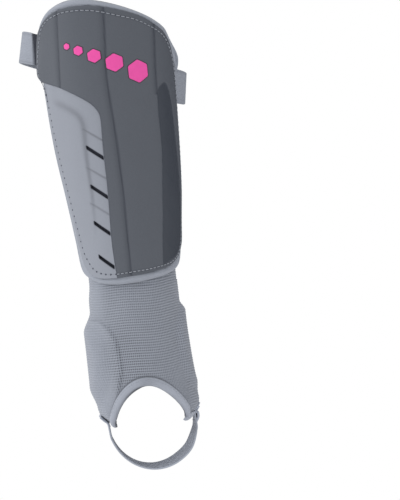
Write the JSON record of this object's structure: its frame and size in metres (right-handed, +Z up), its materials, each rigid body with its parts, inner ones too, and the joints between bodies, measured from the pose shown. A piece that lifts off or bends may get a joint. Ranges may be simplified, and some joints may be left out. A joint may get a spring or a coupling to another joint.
{
  "type": "football shin guard",
  "caption": "Left shin guard: a hard two-part shell on a foam pad, with a calf strap, a knit ankle sleeve and a strap under the foot.",
  "frame": {"origin": "on the leg's axis, level with the middle of the pad", "axes": "+Z up the leg, -Y to the front of the shin, +X to the outer side of the left leg"},
  "size_m": [0.1311, 0.1167, 0.3713],
  "materials": {
    "front_plate": "satin dark grey",
    "vent_panel": "satin light grey, fine stipple",
    "foam_pad": "cloth-faced foam",
    "calf_strap": "woven elastic",
    "ankle_sleeve": "fine knit",
    "binding": "rolled tape",
    "stirrup_strap": "woven elastic"
  },
  "bodies": {
    "root": {"front_plate": "front_plate", "vent_panel": "vent_panel", "foam_pad": "foam_pad", "calf_strap": "calf_strap", "ankle_sleeve": "ankle_sleeve", "instep_binding": "binding", "heel_binding": "binding", "stirrup_strap": "stirrup_strap"}
  },
  "joints": []
}
